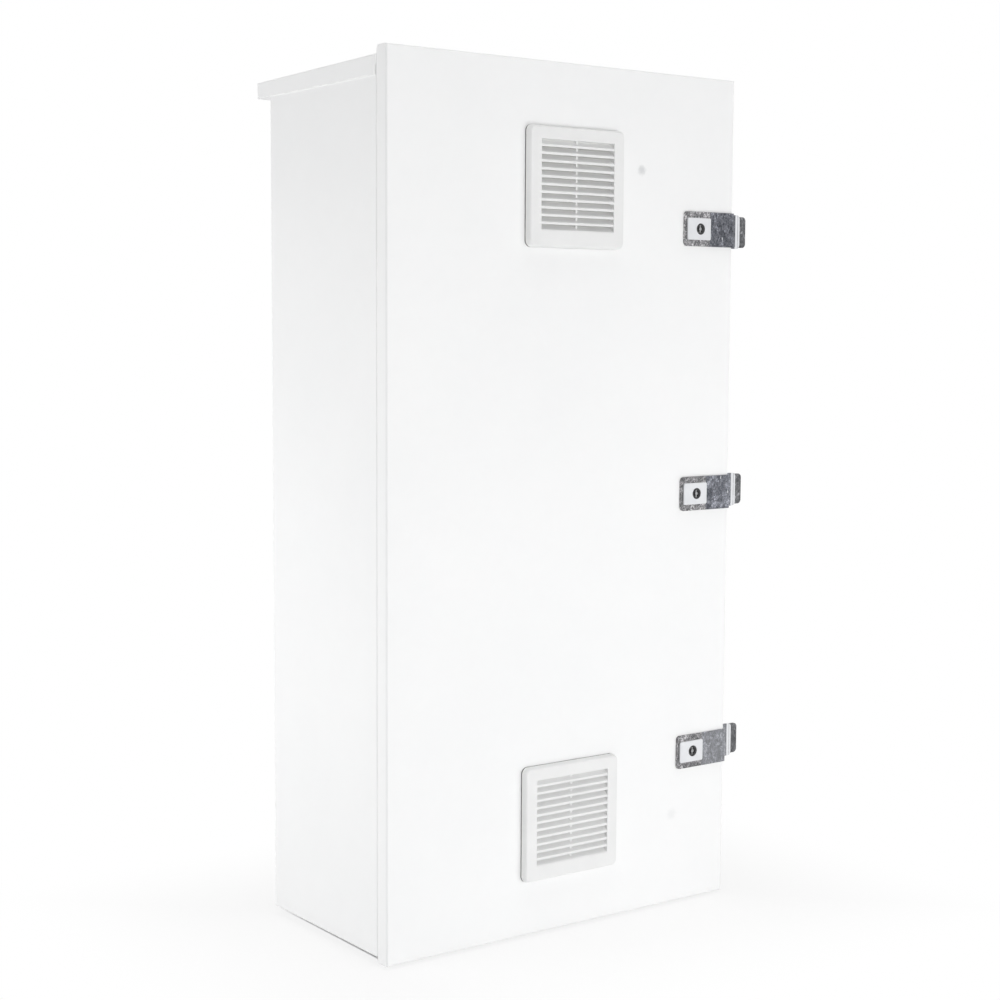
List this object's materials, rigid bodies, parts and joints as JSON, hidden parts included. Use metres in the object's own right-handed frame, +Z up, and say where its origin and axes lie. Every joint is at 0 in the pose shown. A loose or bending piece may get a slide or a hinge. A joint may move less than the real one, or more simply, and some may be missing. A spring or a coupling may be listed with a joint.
{
  "type": "roadside utility cabinet",
  "caption": "White sheet-steel outdoor utility cabinet: a tall box with an overhanging roof and a full-height left-hinged door carrying louvred vents and galvanised lock hasps.",
  "frame": {"origin": "centre of the anchor-hole pattern, on the floor plane under the foot bars", "axes": "+X to the right seen from the front, +Y from the door to the back wall, +Z up"},
  "size_m": [0.6537, 0.34, 1.2],
  "materials": {
    "white_paint": "satin white powder coat on folded steel sheet",
    "galvanised": "hot-dip galvanised steel with dull spangle",
    "plated_steel": "bright zinc-plated steel",
    "black_rubber": "matt black rubber and foam seal",
    "grille_plastic": "off-white moulded plastic",
    "lock_plaque": "pale grey moulded lock body",
    "lock_black": "black coated die-cast lock core",
    "filter_mat": "pale fibre filter mat",
    "dark_plastic": "dark grey moulded plastic"
  },
  "bodies": {
    "cabinet": {"body_shell": "white_paint", "top_panel": "white_paint", "floor_pan": "white_paint", "roof_cap": "white_paint", "roof_spacers": "plated_steel", "roof_nuts": "plated_steel", "foot_bar_front": "galvanised", "foot_bar_rear": "galvanised", "foot_bolts": "plated_steel", "gland_plate": "galvanised", "gland_gasket": "black_rubber", "gland_screws": "plated_steel", "cable_grommets": "black_rubber", "mounting_plate": "galvanised", "mounting_studs": "plated_steel", "mounting_nuts": "plated_steel", "earth_stud": "plated_steel", "earth_nut": "plated_steel", "hinge_arm_upper": "plated_steel", "hinge_arm_middle": "plated_steel", "hinge_arm_lower": "plated_steel", "hinge_screws": "plated_steel", "keeper_upper": "galvanised", "keeper_middle": "galvanised", "keeper_lower": "galvanised", "keeper_rivets": "plated_steel"},
    "door": {"door_panel": "white_paint", "door_gasket": "black_rubber", "door_rail_left": "galvanised", "door_rail_right": "galvanised", "hinge_bracket_upper": "plated_steel", "hinge_bracket_middle": "plated_steel", "hinge_bracket_lower": "plated_steel", "hinge_pins": "plated_steel", "vent_grille_upper": "grille_plastic", "vent_grille_lower": "grille_plastic", "vent_gasket_upper": "black_rubber", "vent_gasket_lower": "black_rubber", "vent_filter_upper": "filter_mat", "vent_filter_lower": "filter_mat", "vent_retainer_upper": "dark_plastic", "vent_retainer_lower": "dark_plastic", "vent_screws": "plated_steel", "hasp_upper": "galvanised", "hasp_middle": "galvanised", "hasp_lower": "galvanised", "lock_housing_upper": "lock_plaque", "lock_housing_middle": "lock_plaque", "lock_housing_lower": "lock_plaque", "lock_nuts": "plated_steel"},
    "lock_upper": {"lock_core_upper": "lock_black", "lock_cam_upper": "galvanised", "cam_screw_upper": "plated_steel"},
    "lock_middle": {"lock_core_middle": "lock_black", "lock_cam_middle": "galvanised", "cam_screw_middle": "plated_steel"},
    "lock_lower": {"lock_core_lower": "lock_black", "lock_cam_lower": "galvanised", "cam_screw_lower": "plated_steel"}
  },
  "joints": [
    {"name": "door_hinge", "type": "hinge", "parent": "cabinet", "child": "door", "pos_m": [-0.2947, -0.1505, 0.606], "axis": [0, 0, -1], "range_deg": [0, 110]},
    {"name": "lock_upper_turn", "type": "hinge", "parent": "door", "child": "lock_upper", "pos_m": [0.234, -0.1595, 0.986], "axis": [0, -1, 0], "range_deg": [0, 90]},
    {"name": "lock_middle_turn", "type": "hinge", "parent": "door", "child": "lock_middle", "pos_m": [0.234, -0.1595, 0.606], "axis": [0, -1, 0], "range_deg": [0, 90]},
    {"name": "lock_lower_turn", "type": "hinge", "parent": "door", "child": "lock_lower", "pos_m": [0.234, -0.1595, 0.226], "axis": [0, -1, 0], "range_deg": [0, 90]}
  ]
}
